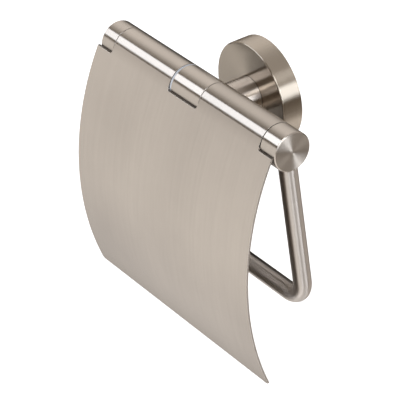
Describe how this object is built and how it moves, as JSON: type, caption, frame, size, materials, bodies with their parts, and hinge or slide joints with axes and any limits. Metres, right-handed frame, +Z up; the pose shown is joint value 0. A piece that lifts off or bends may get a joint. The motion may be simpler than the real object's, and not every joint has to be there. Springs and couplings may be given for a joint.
{
  "type": "toilet paper holder",
  "caption": "Wall-mounted toilet roll holder in brushed steel: round rosette and post, a horizontal bar, an L-shaped roll arm, and a curved cover sheet hinged on the bar.",
  "frame": {"origin": "centre of the rosette's back face, on the wall", "axes": "+Y into the wall, -Y towards the user, +Z up, +X along the bar towards the end that carries the roll arm"},
  "size_m": [0.1431, 0.0681, 0.1374],
  "materials": {
    "turned_steel": "turned and brushed round its axis",
    "sheet_steel": "fine satin brushing down the sheet and round its knuckles",
    "arm_steel": "brushed round the rod",
    "plate_steel": "plain pressed steel",
    "screw_steel": "dull stainless screws",
    "nylon": "natural white nylon"
  },
  "bodies": {
    "frame": {"wall_plate": "plate_steel", "rosette": "turned_steel", "rosette_grub_screw": "screw_steel", "post": "turned_steel", "post_screws": "screw_steel", "hub": "turned_steel", "hub_screw": "screw_steel", "pivot_rod": "turned_steel", "left_end_cap": "turned_steel", "left_cap_grub_screw": "screw_steel", "right_end_cap": "turned_steel", "stop_pin": "screw_steel", "spacer_washer": "nylon", "roll_arm": "arm_steel", "arm_grub_screw": "screw_steel"},
    "cover": {"cover_sheet": "sheet_steel", "left_outer_bush": "nylon", "left_inner_bush": "nylon", "right_inner_bush": "nylon", "right_outer_bush": "nylon"}
  },
  "joints": [
    {"name": "cover_hinge", "type": "hinge", "parent": "frame", "child": "cover", "pos_m": [0, -0.039, 0.0115], "axis": [-1, 0, 0], "range_deg": [0, 180]}
  ]
}
